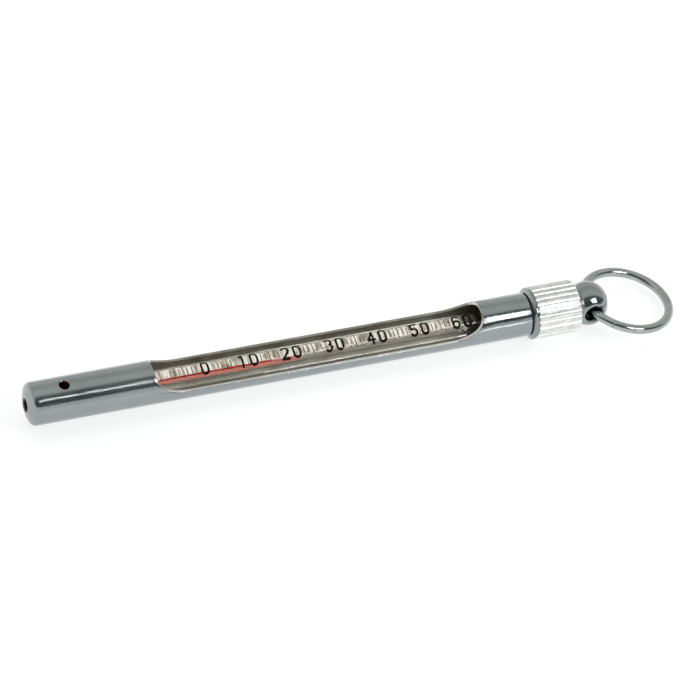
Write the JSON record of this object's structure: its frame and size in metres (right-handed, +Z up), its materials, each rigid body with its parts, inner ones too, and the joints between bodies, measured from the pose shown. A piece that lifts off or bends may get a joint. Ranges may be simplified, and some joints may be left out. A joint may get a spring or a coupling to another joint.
{
  "type": "darkroom thermometer",
  "caption": "Red-spirit glass thermometer in a plated metal tube with a long reading window, vented closed tip, knurled screw cap, ball end and swinging carry ring.",
  "frame": {"origin": "centre of the whole object's box in plan, on the surface it lies on", "axes": "+X along the tube from its closed tip towards the ring, +Z up, Y along the ball's cross-hole; the reading window faces up, turned 6 degrees towards -Y"},
  "size_m": [0.1731, 0.0244, 0.0132],
  "materials": {
    "plated_tube": "bright plate on drawn brass",
    "bright_nickel": "bright plate on a coarse straight knurl",
    "polished_wire": "polished plated wire",
    "turned_brass": "bare turned brass",
    "black_rubber": "matte",
    "clear_glass": "clear, fire polished",
    "white_enamel": "opaque white enamel fused in the glass",
    "red_spirit": "dyed liquid",
    "fired_print": "black fired print",
    "cork": "pressed cork"
  },
  "bodies": {
    "case": {"case_tube": "plated_tube", "thread_bush": "turned_brass", "mouth_washer": "black_rubber", "tip_cushion": "black_rubber", "stem_cushion": "black_rubber", "top_cushion": "black_rubber"},
    "glass": {"glass_bulb": "clear_glass", "glass_stem": "clear_glass", "enamel_back": "white_enamel", "red_spirit": "red_spirit", "scale_degree_marks": "fired_print", "scale_long_marks": "fired_print", "scale_numerals": "fired_print"},
    "pad": {"cap_pad": "cork"},
    "cap": {"knurled_cap": "bright_nickel", "ball_finial": "plated_tube"},
    "ring": {"carry_ring": "polished_wire"}
  },
  "joints": [
    {"name": "glass_turn", "type": "hinge", "parent": "case", "child": "glass", "pos_m": [0, 0, 0.0066], "axis": [1, 0, 0], "continuous": true},
    {"name": "cap_slide", "type": "slide", "parent": "case", "child": "pad", "axis": [1, 0, 0], "range_m": [0, 0.0075]},
    {"name": "cap_turn", "type": "hinge", "parent": "pad", "child": "cap", "pos_m": [0.0532, 0, 0.0066], "axis": [1, 0, 0], "range_deg": [0, 3600]},
    {"name": "ring_swing", "type": "hinge", "parent": "cap", "child": "ring", "pos_m": [0.06336, 0, 0.0066], "axis": [0, 1, 0], "range_deg": [-159, 141]}
  ],
  "couplings": [
    {"joint": "cap_slide", "follows": "cap_turn", "m_per_rad": 0.00011936}
  ]
}
